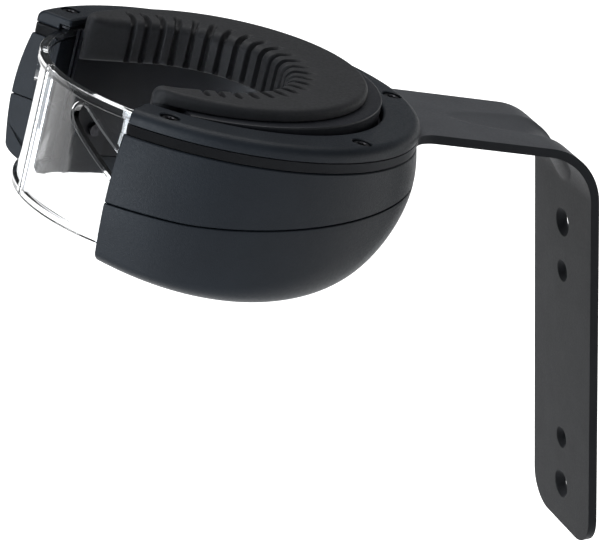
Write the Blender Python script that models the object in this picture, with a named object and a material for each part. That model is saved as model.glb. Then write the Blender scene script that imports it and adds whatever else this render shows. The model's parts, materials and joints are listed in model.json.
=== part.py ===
"""Wall hanger for a stringed instrument: steel bracket, horseshoe head, sinking cradle, two curved gates.

All lengths are written in millimetres and multiplied by MM.  Parts of the head are modelled in the
head frame: origin on the ring axis at the top face of the steel plate, Z along the ring axis,
-Y toward the open front.  Angles round the ring are measured from the open front (phi), positive
toward +X.
"""
import bpy
import bmesh
from math import atan2, cos, degrees, hypot, pi, radians, sin, sqrt, tan

MM = 0.001
SIDES = (("right", 1.0), ("left", -1.0))

# ---- overall placing ------------------------------------------------------------------------
TILT = 15.81              # the head rises toward its open front
RING_TO_WALL = 130.05     # ring axis to the wall face of the bracket
RING_ABOVE_HOLES = 122.8  # ring origin above the middle of the hole pattern

# ---- steel bracket --------------------------------------------------------------------------
STEEL = 3.2
STRAP_W = 48.26
BEND_R = 24.0             # outer radius of the bend
PLATE_BOTTOM = -190.7
PLATE_CORNER = 12.0
HOLE_OUT = 51.8
HOLE_IN = 33.0
SINK_OUT_D, SINK_OUT_HOLE = 10.6, 5.6
SINK_IN_D, SINK_IN_HOLE = 8.2, 4.6
BEAD_HALF_W = 10.4
BEAD_DEPTH = 2.2
BEAD_START = 87.0
BEAD_TAIL = -1.0
HORSESHOE_IN, HORSESHOE_OUT = 60.4, 70.0
ROOT_FILLET = 12.0

# ---- horseshoe head -------------------------------------------------------------------------
END_PHI = 45.8            # half angle of the open front
GAP = 0.3
WALL = 2.5
COVER_IN, COVER_TOP, COVER_EDGE = 56.7, 5.0, 3.1
TRACK_IN, TRACK_OUT = 60.4, 62.4
SLEEVE_IN, SLEEVE_OUT = 55.7, 56.7
SLEEVE_PHI = 51.7
FLOOR_IN = 55.9
SHELF_IN, SHELF_PHI = 37.0, 49.0
END_WALL = 2.2
GLIDE = 0.8
# barrel shape of the head, given at the open ends, at the sides and at the rear
FLOOR_Z = (-49.7, -52.0, -37.3)
CORNER_H = (5.9, 8.9, 32.0)
CORNER_W = (15.4, 10.0, 10.0)
BULGE = (3.0, 0.2, 3.0)

# ---- screws ---------------------------------------------------------------------------------
SCREW_R = 64.3
SCREW_STEP = 61.95
RECESS_D = 6.8
HEAD_D = 5.8
SHANK_D = 3.0
BOSS_D = 6.0
BOSS_TRIM = 0.7           # a boss stays this far inside the outer skin
SCREW_TIP = -32.6         # the screws pass the steel and the upper housing into the bottom shell
HEAD_SEAT, HEAD_TOP = 3.4, 4.5

# ---- cradle and pad -------------------------------------------------------------------------
CRADLE_OUT = 55.3
CRADLE_Z, CRADLE_SLOPE = 6.2, 0.058
SKIRT_BOTTOM = -31.0
LEG_BOTTOM = -50.5
LEG_PHI = (56.5, 75.0)
CRADLE_FRONT_Y = -34.0
PAD_OUT, PAD_CENTRE_Y = 51.0, -1.3
PAD_TOP, PAD_FALL = 5.2, 0.0226    # height at the front, and its loss per millimetre toward the rear
PAD_BOTTOM = -10.5
MOUTH_R, MOUTH_Y = 33.5, -12.0
PAD_FRONT_Y = -36.0
RIB_START_Y = -19.7
RIB_COUNT = 23
RIB_DEPTH = 1.9

# ---- gates and their drive ------------------------------------------------------------------
GATE_IN, GATE_OUT, GATE_RIM = 57.0, 58.5, 59.9
GATE_TOP, GATE_BOTTOM = 1.0, -45.1
GATE_MEET = 0.25          # half of the gap between the two closed gates, degrees
GATE_TAIL_PHI = 75.5
SLOT_W = 7.3
SLOT_HIGH = (24.3, -7.6)      # slot centre line, upper end: phi with the gates closed, height
SLOT_LOW = (68.3, -35.3)      # slot centre line, lower end
PIN_D = 3.0
ROLLER_D = 6.6
SPRING_R, SPRING_PHI = 44.0, 152.0
SPRING_D, SPRING_WIRE, SPRING_TURNS = 10.0, 1.4, 7.0
LIFT = 27.7               # travel of the cradle
SWING = 44.0              # swing of each gate over that travel, degrees


# ---- finishes: colour, roughness, metallic, transmission -------------------------------------
POWDER_COAT = ((0.055, 0.058, 0.062), 0.55, 0.0, 0.0)
BLACK_PLASTIC = ((0.022, 0.024, 0.028), 0.48, 0.0, 0.0)
INNER_PLASTIC = ((0.018, 0.019, 0.022), 0.5, 0.0, 0.0)
BLACK_RUBBER = ((0.02, 0.021, 0.023), 0.72, 0.0, 0.0)
CLEAR_PLASTIC = ((0.93, 0.95, 0.97), 0.05, 0.0, 1.0)
BLACK_SCREW = ((0.03, 0.03, 0.032), 0.35, 0.9, 0.0)
BRIGHT_STEEL = ((0.6, 0.6, 0.62), 0.3, 1.0, 0.0)


def material(name, finish):
    colour, rough, metal, clear = finish
    mat = bpy.data.materials.new(name)
    mat.use_nodes = True
    shader = mat.node_tree.nodes["Principled BSDF"]
    shader.inputs["Base Color"].default_value = (*colour, 1.0)
    shader.inputs["Roughness"].default_value = rough
    shader.inputs["Metallic"].default_value = metal
    shader.inputs["Transmission Weight"].default_value = clear
    mat.diffuse_color = (*colour, 1.0)
    return mat


# ---- mesh helpers ---------------------------------------------------------------------------
def face_outward(bm):
    bmesh.ops.recalc_face_normals(bm, faces=bm.faces)
    if bm.calc_volume(signed=True) < 0.0:
        bmesh.ops.reverse_faces(bm, faces=bm.faces)


def put(name, bm, finish, parent, smooth=35.0, location=(0.0, 0.0, 0.0)):
    """Finished piece from a bmesh, with a material of its own; a tool has no finish."""
    face_outward(bm)
    mesh = bpy.data.meshes.new(name)
    bm.to_mesh(mesh)
    bm.free()
    if finish:
        mesh.materials.append(material(name + "_finish", finish))
    shade(mesh, smooth)
    return place(name, mesh, parent, location)


def place(name, mesh, parent, location=(0.0, 0.0, 0.0)):
    obj = bpy.data.objects.new(name, mesh)
    bpy.context.scene.collection.objects.link(obj)
    obj.parent = parent
    obj.location = location
    return obj


def shade(mesh, smooth=35.0):
    mesh.shade_smooth()
    mesh.set_sharp_from_angle(angle=radians(smooth))


def frame(name, parent=None, location=(0, 0, 0), rotation=(0, 0, 0)):
    empty = bpy.data.objects.new(name, None)
    empty.empty_display_size = 0.01
    empty.location = location
    empty.rotation_euler = rotation
    empty.parent = parent
    bpy.context.scene.collection.objects.link(empty)
    return empty


def polar(r, phi, z):
    a = radians(phi - 90.0)
    return (r * cos(a) * MM, r * sin(a) * MM, z * MM)


def skin(bm, sections):
    """Join closed sections of equal length into one capped tube."""
    rings = [[bm.verts.new(p) for p in s] for s in sections]
    n = len(rings[0])
    for a, b in zip(rings, rings[1:]):
        for i in range(n):
            j = (i + 1) % n
            bm.faces.new((a[i], a[j], b[j], b[i]))
    bm.faces.new(rings[0])
    bm.faces.new(list(reversed(rings[-1])))


def sweep(name, section, phis, finish, parent, side=1.0):
    """Section of (radius, height) points swept round the ring; side -1 is the mirror image."""
    bm = bmesh.new()
    skin(bm, [[polar(r, side * phi, z) for r, z in section(phi)] for phi in phis])
    return put(name, bm, finish, parent)


def steps(a, b, size):
    n = max(1, round(abs(b - a) / size))
    return [a + (b - a) * i / n for i in range(n + 1)]


def pole(bm, base, axis, parts, seg=20):
    """Turned piece: parts are (distance along axis, radius) pairs from one end to the other."""
    bx, by, bz = base
    ax, ay, az = axis
    if abs(az) > 0.9:
        u, v = (1.0, 0.0, 0.0), (0.0, 1.0, 0.0)
    else:
        h = hypot(ax, ay)
        u, v = (-ay / h, ax / h, 0.0), (0.0, 0.0, 1.0)
    rings = []
    for d, r in parts:
        ring = []
        for i in range(seg):
            t = 2 * pi * i / seg
            c, s = r * cos(t), r * sin(t)
            ring.append(((bx + ax * d + u[0] * c + v[0] * s) * MM,
                         (by + ay * d + u[1] * c + v[1] * s) * MM,
                         (bz + az * d + u[2] * c + v[2] * s) * MM))
        rings.append(ring)
    skin(bm, rings)


def merge(obj, other, how):
    """Join or cut with another object and keep the result as a plain mesh."""
    other.hide_render = True
    other.display_type = "WIRE"
    mod = obj.modifiers.new(how, "BOOLEAN")
    mod.operation = how
    mod.solver = "EXACT"
    mod.object = other
    bpy.context.view_layer.update()
    graph = bpy.context.evaluated_depsgraph_get()
    mesh = bpy.data.meshes.new_from_object(obj.evaluated_get(graph))
    old = obj.data
    obj.modifiers.clear()
    obj.data = mesh
    mesh.name = obj.name
    bpy.data.meshes.remove(old)
    bpy.data.objects.remove(other)
    shade(mesh)
    return obj


# ---- shape of the head ----------------------------------------------------------------------
def along(triple, phi):
    """Value at phi of a quantity given at the open ends, the sides and the rear."""
    u = (1.0 - cos(radians(phi))) / 2.0
    a, b, c = triple
    ka = (u - 0.5) * (u - 1.0) / ((0.15 - 0.5) * (0.15 - 1.0))
    kb = (u - 0.15) * (u - 1.0) / ((0.5 - 0.15) * (0.5 - 1.0))
    kc = (u - 0.15) * (u - 0.5) / ((1.0 - 0.15) * (1.0 - 0.5))
    return a * ka + b * kb + c * kc


def seam_z(phi):
    u = (1.0 - cos(radians(phi))) / 2.0
    return -26.3 + 18.5 * max(0.0, u - 0.3) ** 1.25


def hull(phi, z):
    """Outer radius of the head at a height."""
    low, tall = along(FLOOR_Z, phi), along(CORNER_H, phi)
    wide, bulge = along(CORNER_W, phi), max(0.0, along(BULGE, phi))
    s = min(1.0, max(0.0, (-STEEL - z) / (-STEEL - low)))
    r = HORSESHOE_OUT + bulge * sin(pi * s ** 0.9)
    t = min(1.0, max(0.0, (low + tall - z) / tall))
    return r - wide * (1.0 - sqrt(1.0 - t * t))


def head_phis():
    """Stations round the head; the two open ends are closed by a short solid stretch."""
    a, b = END_PHI, 360.0 - END_PHI
    return [a, a + END_WALL] + steps(a + END_WALL + 0.5, b - END_WALL - 0.5, 7.2) + [b - END_WALL, b]


def at_end(phi):
    return min(phi, 360.0 - phi) < END_PHI + END_WALL + 0.1


def bottom_section(phi):
    """Bottom shell: outer skin, floor, inner track wall, and at the rear a floor reaching inward."""
    low = along(FLOOR_Z, phi)
    top = seam_z(phi) - GAP
    n = 6
    floor_top = min(low + WALL, top - 4.0)
    outer = []
    inner = []
    for i in range(n + 1):
        # steps crowd toward the floor, where the corner is tight
        k = 1.0 - (1.0 - i / n) ** 1.7
        z = top + (low - top) * k
        outer.append((hull(phi, z), z))
        inner.append((max(hull(phi, z) - WALL, TRACK_OUT + 0.6), top + (floor_top - top) * k))
    track_top = max(GATE_BOTTOM - 2.0 * GAP - GLIDE, low + WALL)
    if at_end(phi):
        inner = [(r, top) for r, z in inner]
        floor_top = top
    reach = FLOOR_IN if abs(phi - 180.0) > SHELF_PHI else SHELF_IN
    sect = outer + [(reach, low - 0.6), (reach, track_top), (TRACK_IN, track_top), (TRACK_IN, top)]
    return sect + [(TRACK_OUT, top), (TRACK_OUT, floor_top)] + inner[::-1]


def upper_section(phi):
    """Upper housing: outer skin, roof under the steel plate, inner track wall, open below."""
    low = seam_z(phi)
    top = -STEEL - GAP
    roof = top - WALL
    n = 4
    outer = [(hull(phi, z), z) for z in [top + (low - top) * i / n for i in range(n + 1)]]
    inner = [(hull(phi, z) - WALL, z) for z in [low + (roof - low) * i / n for i in range(n + 1)]]
    if at_end(phi):
        edge = hull(phi, low) - WALL
        inner = [(edge - (edge - TRACK_OUT) * i / (n + 2.0), low) for i in range(n + 1)]
        roof = low
    return outer + inner + [(TRACK_OUT, roof), (TRACK_OUT, low), (TRACK_IN, low), (TRACK_IN, top)]


def cover_section(phi):
    r = HORSESHOE_OUT
    under = GATE_TOP + 2.0 * GAP + GLIDE
    edge = [(r - COVER_EDGE * (1.0 - cos(a)), COVER_TOP - COVER_EDGE * (1.0 - sin(a)))
            for a in steps(0.0, pi / 2.0, pi / 10.0)]
    return [(r, GAP)] + edge + [(COVER_IN + 0.7, COVER_TOP), (COVER_IN, COVER_TOP - 0.7), (COVER_IN, under),
                                (TRACK_IN + 0.4, under), (TRACK_IN + 0.4, GAP)]


# ---- bracket --------------------------------------------------------------------------------
TURN = radians(90.0 - TILT)
BEND_S = RING_TO_WALL / cos(radians(TILT)) - BEND_R * tan(TURN / 2.0)
BEND_LEN = BEND_R * TURN
BEND_END_Z = -RING_TO_WALL * tan(radians(TILT)) - BEND_R * tan(TURN / 2.0)
STRIP_END = BEND_S + BEND_LEN + BEND_END_Z - PLATE_BOTTOM


def strip(x, s, depth):
    """Head-frame point at length s along the strip, at a depth below its outer face."""
    r = BEND_R - depth
    if s <= BEND_S:
        return (x * MM, s * MM, -depth * MM)
    a = min(TURN, (s - BEND_S) / BEND_R)
    d = max(0.0, s - BEND_S - BEND_LEN)
    y = BEND_S + r * sin(a) + d * cos(TURN)
    z = -BEND_R + r * cos(a) - d * sin(TURN)
    return (x * MM, y * MM, z * MM)


def bead(x, s):
    mid = BEND_S + BEND_LEN / 2.0
    span = mid - BEAD_START if s < mid else BEND_LEN / 2.0 + BEAD_TAIL
    q = ((s - mid) / span) ** 2 + (x / BEAD_HALF_W) ** 2
    return BEAD_DEPTH * max(0.0, 1.0 - q) ** 0.75


def horseshoe_outline():
    """Plan of the horseshoe plate from one root of the arm round to the other."""
    half = STRAP_W / 2.0
    cx = half + ROOT_FILLET
    cy = sqrt((HORSESHOE_OUT + ROOT_FILLET) ** 2 - cx ** 2)
    turn = 2.0 * pi + atan2(-cy, -cx) - pi
    root = []
    for k in range(6):
        a = pi + turn * k / 5.0
        root.append((cx + ROOT_FILLET * cos(a), cy + ROOT_FILLET * sin(a)))
    meet = degrees(atan2(root[-1][1], root[-1][0])) + 90.0
    right = root + [round_plan(HORSESHOE_OUT, f) for f in steps(meet, END_PHI, 5.0)[1:]]
    inner = [round_plan(HORSESHOE_IN, f) for f in steps(END_PHI, 360.0 - END_PHI, 6.0)]
    return right + inner + [(-x, y) for x, y in reversed(right)]


def round_plan(r, phi):
    return (r * sin(radians(phi)), -r * cos(radians(phi)))


def build_bracket(finish, ring):
    """Horseshoe plate, arm, bend and wall plate from one sheet, with a bead across the bend."""
    half = STRAP_W / 2.0
    xs = [-half, -14.0, -10.4, -8.6, -6.4, -3.4, 0.0, 3.4, 6.4, 8.6, 10.4, 14.0, half]
    ss = [84.0, 88.0, 90.0, 93.0, 97.0, 103.0, 110.0, BEND_S]
    ss += [BEND_S + BEND_LEN * k / 9.0 for k in range(1, 10)]
    ss += [BEND_S + BEND_LEN + d for d in (2.0, 4.5)]
    ni, nj = len(xs), len(ss)
    bm = bmesh.new()
    faces = []
    for depth in (0.0, STEEL):
        grid = [[bm.verts.new(strip(x, s, depth + bead(x, s))) for x in xs] for s in ss]
        faces.append(grid)
        for j in range(nj - 1):
            for i in range(ni - 1):
                bm.faces.new((grid[j][i], grid[j][i + 1], grid[j + 1][i + 1], grid[j + 1][i]))
    for j in range(nj - 1):
        for i in (0, ni - 1):
            bm.faces.new((faces[0][j][i], faces[0][j + 1][i], faces[1][j + 1][i], faces[1][j][i]))

    quarter = [pi / 2.0 * k / 6.0 for k in range(7)]
    inset = half - PLATE_CORNER
    low = [(inset + PLATE_CORNER * cos(a), STRIP_END - PLATE_CORNER * (1.0 - sin(a)))
           for a in quarter]
    low += [(-x, s) for x, s in reversed(low)]
    shoe = horseshoe_outline()
    plate_loops = []
    shoe_loops = []
    for depth, grid in zip((0.0, STEEL), faces):
        tip = [bm.verts.new(strip(x, s, depth)) for x, s in low]
        bm.faces.new(grid[-1] + tip)
        plate_loops.append([grid[-1][-1]] + tip + [grid[-1][0]])
        horse = [bm.verts.new((x * MM, y * MM, -depth * MM)) for x, y in shoe]
        bm.faces.new(grid[0] + horse)
        shoe_loops.append([grid[0][-1]] + horse + [grid[0][0]])
    for upper, lower in (plate_loops, shoe_loops):
        for a, b, c, d in zip(upper, upper[1:], lower[1:], lower):
            bm.faces.new((a, b, c, d))
    bracket = put("wall_bracket", bm, finish, ring)

    # screw holes in the wall plate, sunk from the room side
    bm = bmesh.new()
    mid_s = STRIP_END - (-RING_ABOVE_HOLES - PLATE_BOTTOM)
    for off, big, small in ((HOLE_OUT, SINK_OUT_D, SINK_OUT_HOLE), (HOLE_IN, SINK_IN_D, SINK_IN_HOLE)):
        sink = STEEL - (big - small) / 2.0
        for s in (mid_s - off, mid_s + off):
            rings = []
            for t, r in ((-1.0, small / 2), (sink, small / 2), (STEEL, big / 2), (STEEL + 1.0, big / 2)):
                turnv = [2.0 * pi * k / 20 for k in range(20)]
                rings.append([strip(r * cos(a), s + r * sin(a), t) for a in turnv])
            skin(bm, rings)
    for phi in screw_phis():
        x, y = round_plan(SCREW_R, phi)
        pole(bm, (x, y, 0.0), (0, 0, 1), ((-STEEL - 1.0, SHANK_D / 2 + GAP), (1.0, SHANK_D / 2 + GAP)), 14)
    merge(bracket, put("hole_tools", bm, None, ring), "DIFFERENCE")
    return bracket


# ---- head -----------------------------------------------------------------------------------
def screw_phis():
    return [180.0 + SCREW_STEP * k for k in (-2, -1, 0, 1, 2)]


def build_cover(finish, ring):
    phis = steps(END_PHI + 0.4, 360.0 - END_PHI - 0.4, 6.5)
    cover = sweep("top_cover", cover_section, phis, finish, ring)
    bm = bmesh.new()
    for phi in screw_phis():
        x, y = round_plan(SCREW_R, phi)
        shank, head = SHANK_D / 2 + GAP, RECESS_D / 2
        parts = ((-1.0, shank), (HEAD_SEAT, shank), (HEAD_SEAT + 0.0001, head), (COVER_TOP + 1.0, head))
        pole(bm, (x, y, 0.0), (0, 0, 1), parts, 16)
    merge(cover, put("cover_tools", bm, None, ring), "DIFFERENCE")
    return cover


def screw_posts(name, bottom, top, radius, ring, seg=12):
    """One upright cylinder round each screw; bottom and top are heights or functions of phi."""
    bm = bmesh.new()
    for phi in screw_phis():
        x, y = round_plan(SCREW_R, phi)
        low, high = [z(phi) if callable(z) else z for z in (bottom, top)]
        pole(bm, (x, y, 0.0), (0, 0, 1), ((low, radius), (high, radius)), seg)
    return put(name, bm, None, ring)


def build_upper(finish, ring):
    body = sweep("upper_housing", upper_section, head_phis(), finish, ring)
    roof = -STEEL - GAP - WALL + 0.8
    merge(body, screw_posts("posts", lambda phi: seam_z(phi) + 0.1, roof, BOSS_D / 2, ring), "UNION")
    hole = SHANK_D / 2 + GAP
    return merge(body, screw_posts("holes", lambda phi: seam_z(phi) - 2.0, -2.0, hole, ring), "DIFFERENCE")


def core_section(phi):
    """Solid lying inside the skin of the bottom shell, to trim what is built in it."""
    low, top = along(FLOOR_Z, phi), seam_z(phi) + 1.0
    outer = [(hull(phi, z) - BOSS_TRIM, z) for z in steps(top, low + BOSS_TRIM, (top - low) / 7.0)]
    return outer + [(TRACK_IN + BOSS_TRIM, low + BOSS_TRIM), (TRACK_IN + BOSS_TRIM, top)]


def build_bottom(finish, ring):
    body = sweep("bottom_shell", bottom_section, head_phis(), finish, ring)
    posts = screw_posts("posts", lambda phi: along(FLOOR_Z, phi) - 1.0, lambda phi: seam_z(phi) - GAP - 0.1,
                        BOSS_D / 2, ring)
    merge(posts, sweep("core", core_section, head_phis(), None, ring), "INTERSECT")
    merge(body, posts, "UNION")
    hole = SHANK_D / 2 + GAP
    return merge(body, screw_posts("holes", SCREW_TIP - 0.6, 0.0, hole, ring), "DIFFERENCE")


def box_at(bm, phi, r0, r1, half_w, z0, z1):
    """Block standing on the radius at phi."""
    x, y = round_plan(1.0, phi)
    quads = []
    for z in (z0, z1):
        quads.append([((x * r - y * w) * MM, (y * r + x * w) * MM, z * MM)
                      for r, w in ((r0, -half_w), (r1, -half_w), (r1, half_w), (r0, half_w))])
    skin(bm, quads)


def floor_z(phi):
    return max(GATE_BOTTOM - 2.0 * GAP - GLIDE, along(FLOOR_Z, phi) + WALL)


def build_sleeve(finish, ring):
    def section(phi):
        low = floor_z(phi) + GAP
        return [(SLEEVE_IN, low), (SLEEVE_OUT, low), (SLEEVE_OUT, GATE_TOP), (SLEEVE_IN, GATE_TOP)]

    sleeve = sweep("guide_sleeve", section, steps(SLEEVE_PHI, 360.0 - SLEEVE_PHI, 6.0), finish, ring)
    bm = bmesh.new()
    for side in (1.0, -1.0):
        low, high = SLOT_LOW[1] - 3.0, SLOT_LOW[1] + LIFT + 3.0
        box_at(bm, side * SLOT_LOW[0], SLEEVE_IN - 2.0, SLEEVE_OUT + 2.0, PIN_D / 2 + 0.6, low, high)
    merge(sleeve, put("sleeve_tools", bm, None, ring), "DIFFERENCE")
    return sleeve


def build_glides(finish, ring):
    def low_strip(phi):
        base = floor_z(phi) + GAP
        return [(GATE_IN + 0.2, base), (GATE_RIM, base), (GATE_RIM, base + GLIDE - GAP),
                (GATE_IN + 0.2, base + GLIDE - GAP)]

    def high_strip(phi):
        base = GATE_TOP + GAP
        return [(GATE_IN + 0.2, base), (GATE_RIM, base), (GATE_RIM, base + GLIDE),
                (GATE_IN + 0.2, base + GLIDE)]

    for tag, side in SIDES:
        sweep("lower_glide_" + tag, low_strip, steps(END_PHI + 0.8, 112.0, 6.0), finish, ring, side)
        sweep("upper_glide_" + tag, high_strip, steps(END_PHI + 0.8, 124.0, 6.0), finish, ring, side)


def build_screws(finish, ring):
    """Five equal screws from above, one shared mesh."""
    slim, head = SHANK_D / 2, HEAD_D / 2
    profile = ((SCREW_TIP, slim - 0.5), (SCREW_TIP + 0.8, slim), (HEAD_SEAT + GAP, slim),
               (HEAD_SEAT + GAP + 0.1, head), (HEAD_TOP - 0.4, head), (HEAD_TOP, head - 0.5),
               (HEAD_TOP + 0.0001, 1.3), (HEAD_TOP - 0.6, 1.3))
    mesh = None
    for k, phi in enumerate(screw_phis()):
        x, y = round_plan(SCREW_R, phi)
        name = "cover_screw_%d" % (k + 1)
        spot = (x * MM, y * MM, 0.0)
        if mesh is None:
            bm = bmesh.new()
            pole(bm, (0.0, 0.0, 0.0), (0, 0, 1), profile, 12)
            mesh = put(name, bm, finish, ring, 35.0, spot).data
        else:
            place(name, mesh, ring, spot)


# ---- gates ----------------------------------------------------------------------------------
def build_gate(name, side, finish, parent):
    def section(phi):
        panel = GATE_RIM if phi < 2.5 else GATE_OUT
        low = GATE_BOTTOM + (1.6 if phi > GATE_TAIL_PHI - 6.0 else 0.0)
        return [(GATE_IN, low), (GATE_RIM, low), (GATE_RIM, low + 2.6), (panel, low + 2.6),
                (panel, GATE_TOP - 3.2), (GATE_RIM, GATE_TOP - 3.2), (GATE_RIM, GATE_TOP),
                (GATE_IN, GATE_TOP)]

    phis = [GATE_MEET, 2.4, 2.9] + steps(7.0, GATE_TAIL_PHI - 6.2, 5.2) + [GATE_TAIL_PHI - 5.8, GATE_TAIL_PHI]
    bm = bmesh.new()
    skin(bm, [[polar(r, side * p, z) for r, z in section(p)] for p in phis])
    gate = put(name, bm, finish, parent)

    # slanted cam slot
    per_deg = radians(1.0) * (GATE_IN + GATE_OUT) / 2.0
    (p0, z0), (p1, z1) = SLOT_HIGH, SLOT_LOW
    run, rise = (p1 - p0) * per_deg, z1 - z0
    length = hypot(run, rise)
    ux, uz = run / length, rise / length
    half = SLOT_W / 2.0
    rounds = [-half * cos(pi / 2.0 * k / 6.0) for k in range(7)]
    stops = rounds + steps(0.0, length, length / 9.0)[1:-1] + [length - t for t in reversed(rounds)]
    rings = []
    for t in stops:
        past = max(0.0, -t, t - length)
        w = max(0.25, sqrt(max(0.0, half * half - past * past)))
        pts = []
        for r, v in ((GATE_IN - 2.0, -w), (GATE_IN - 2.0, w), (GATE_RIM + 2.0, w), (GATE_RIM + 2.0, -w)):
            pts.append(polar(r, side * (p0 + (t * ux - v * uz) / per_deg), z0 + t * uz + v * ux))
        rings.append(pts)
    bm = bmesh.new()
    skin(bm, rings)
    merge(gate, put(name + "_tool", bm, None, parent), "DIFFERENCE")
    return gate


# ---- cradle ---------------------------------------------------------------------------------
def cradle_top(y):
    return CRADLE_Z + CRADLE_SLOPE * y


def mouth(s):
    """Point and outward normal on the edge of the U-shaped mouth, s from the +X tip round to -X."""
    straight = MOUTH_Y - PAD_FRONT_Y
    if s <= straight:
        return MOUTH_R, PAD_FRONT_Y + s, 1.0, 0.0
    a = (s - straight) / MOUTH_R
    if a <= pi:
        return MOUTH_R * cos(a), MOUTH_Y + MOUTH_R * sin(a), cos(a), sin(a)
    return -MOUTH_R, MOUTH_Y - (s - straight - pi * MOUTH_R), -1.0, 0.0


MOUTH_LEN = 2.0 * (MOUTH_Y - PAD_FRONT_Y) + pi * MOUTH_R


def reach_to(x, y, nx, ny, radius):
    """Distance from a point along a normal to a circle about the origin."""
    b = x * nx + y * ny
    return -b + sqrt(b * b - (x * x + y * y) + radius * radius)


def path_points(x, y, nx, ny, section):
    """Turn (outward distance, height over the cradle top or absolute height) into points."""
    pts = []
    for u, h, kind in section:
        px, py = x + nx * u, y + ny * u
        z = h if kind == "abs" else cradle_top(py) + h
        pts.append((px * MM, py * MM, z * MM))
    return pts


def build_cradle(finish, parent):
    start = CRADLE_FRONT_Y - PAD_FRONT_Y
    straight = MOUTH_Y - PAD_FRONT_Y
    arcs = steps(straight, MOUTH_LEN - straight, 4.4)
    stations = [start, start + 8.0, start + 15.0] + arcs
    stations += [MOUTH_LEN - start - 15.0, MOUTH_LEN - start - 8.0, MOUTH_LEN - start]
    bm = bmesh.new()
    sections = []
    for s in stations:
        x, y, nx, ny = mouth(s)
        out = reach_to(x, y, nx, ny, CRADLE_OUT)
        sections.append(path_points(x, y, nx, ny, [
            (out - 0.8, 0.0, "top"), (out, -0.8, "top"), (out, SKIRT_BOTTOM, "abs"),
            (out - 2.1, SKIRT_BOTTOM, "abs"), (out - 2.1, -2.2, "top"), (6.0, -2.2, "top"),
            (6.0, -9.8, "top"), (4.3, -9.8, "top"), (4.3, 0.0, "top")]))
    skin(bm, sections)
    cradle = put("cradle", bm, finish, parent)
    bm = bmesh.new()
    for side in (1.0, -1.0):
        legs = []
        for phi in steps(LEG_PHI[0], LEG_PHI[1], 4.0):
            pts = [(CRADLE_OUT - 2.1, LEG_BOTTOM), (CRADLE_OUT - 0.02, LEG_BOTTOM),
                   (CRADLE_OUT - 0.02, SKIRT_BOTTOM + 4.0), (CRADLE_OUT - 2.1, SKIRT_BOTTOM + 4.0)]
            legs.append([polar(r, side * phi, z) for r, z in pts])
        skin(bm, legs)
    merge(cradle, put("cradle_legs", bm, None, parent), "UNION")
    bm = bmesh.new()
    for side in (1.0, -1.0):
        x, y = round_plan(1.0, side * SLOT_LOW[0])
        parts = ((CRADLE_OUT - 4.0, PIN_D / 2 + GAP), (CRADLE_OUT + 2.0, PIN_D / 2 + GAP))
        pole(bm, (0.0, 0.0, SLOT_LOW[1]), (x, y, 0), parts, 12)
    merge(cradle, put("cradle_tools", bm, None, parent), "DIFFERENCE")
    return cradle


def rib_stations():
    """(s, groove depth) along the mouth: plain front blocks, ribs and grooves between them."""
    first = RIB_START_Y - PAD_FRONT_Y
    last = MOUTH_LEN - first
    pitch = (last - first) / RIB_COUNT
    out = [(0.0, 0.0), (0.5, 0.0), (1.6, 0.0), (4.5, 0.0), (10.0, 0.0)]
    for i in range(RIB_COUNT):
        s = first + pitch * i
        out += [(s, 0.0), (s + 0.35, RIB_DEPTH), (s + 1.75, RIB_DEPTH), (s + 2.1, 0.0)]
    return out + [(last, 0.0)] + [(MOUTH_LEN - s, 0.0) for s in (10.0, 4.5, 1.6, 0.5, 0.0)]


def build_pad(finish, parent):
    bm = bmesh.new()
    sections = []
    for s, w in rib_stations():
        x, y, nx, ny = mouth(s)
        out = reach_to(x, y - PAD_CENTRE_Y, nx, ny, PAD_OUT)
        k = min(1.0, out / 9.0)
        back = min(3.9, out - 0.5)
        edge = min(s, MOUTH_LEN - s)
        nose = 1.0 if edge > 1.5 else (0.88 if edge > 0.4 else 0.66)
        nose *= 1.0 - PAD_FALL * (y - PAD_FRONT_Y) / PAD_TOP
        hi = out - 3.4 * k
        lip = min(7.6, hi - 0.3)
        rows = [(back, PAD_BOTTOM), (1.0 + w, PAD_BOTTOM), (w, PAD_BOTTOM + 1.0), (w, -0.5),
                (w + 0.7 * k, 2.4 * nose), (w + (2.3 - 0.2 * w) * k, 4.3 * nose),
                (min((4.7 + 0.3 * w) * k, lip - 0.2), (5.0 - 0.2 * w) * nose), (lip, PAD_TOP * nose),
                (hi, PAD_TOP * nose), (out - 1.4 * k, 4.5 * nose), (out - 0.35 * k, 2.8 * nose),
                (out, 0.3), (back, 0.3)]
        sections.append(path_points(x, y, nx, ny, [(u, h, "top") for u, h in rows]))
    skin(bm, sections)
    pad = put("cradle_pad", bm, finish, parent, 50.0)
    return pad


def build_drive(steel, plastic, parent):
    for tag, side in SIDES:
        x, y = round_plan(1.0, side * SLOT_LOW[0])
        bm = bmesh.new()
        parts = ((CRADLE_OUT - 3.6, 2.4), (CRADLE_OUT - 2.6, 2.4), (CRADLE_OUT - 2.5999, PIN_D / 2),
                 (GATE_OUT + 0.8, PIN_D / 2), (GATE_OUT + 1.1, PIN_D / 2 - 0.3))
        pole(bm, (0.0, 0.0, SLOT_LOW[1]), (x, y, 0), parts, 14)
        put("cam_pin_" + tag, bm, steel, parent)
        bm = bmesh.new()
        tube(bm, (0.0, 0.0, SLOT_LOW[1]), (x, y, 0), GATE_IN + 0.1, GATE_OUT + 0.4,
             PIN_D / 2 + GAP, ROLLER_D / 2, 18)
        put("cam_roller_" + tag, bm, plastic, parent)


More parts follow.
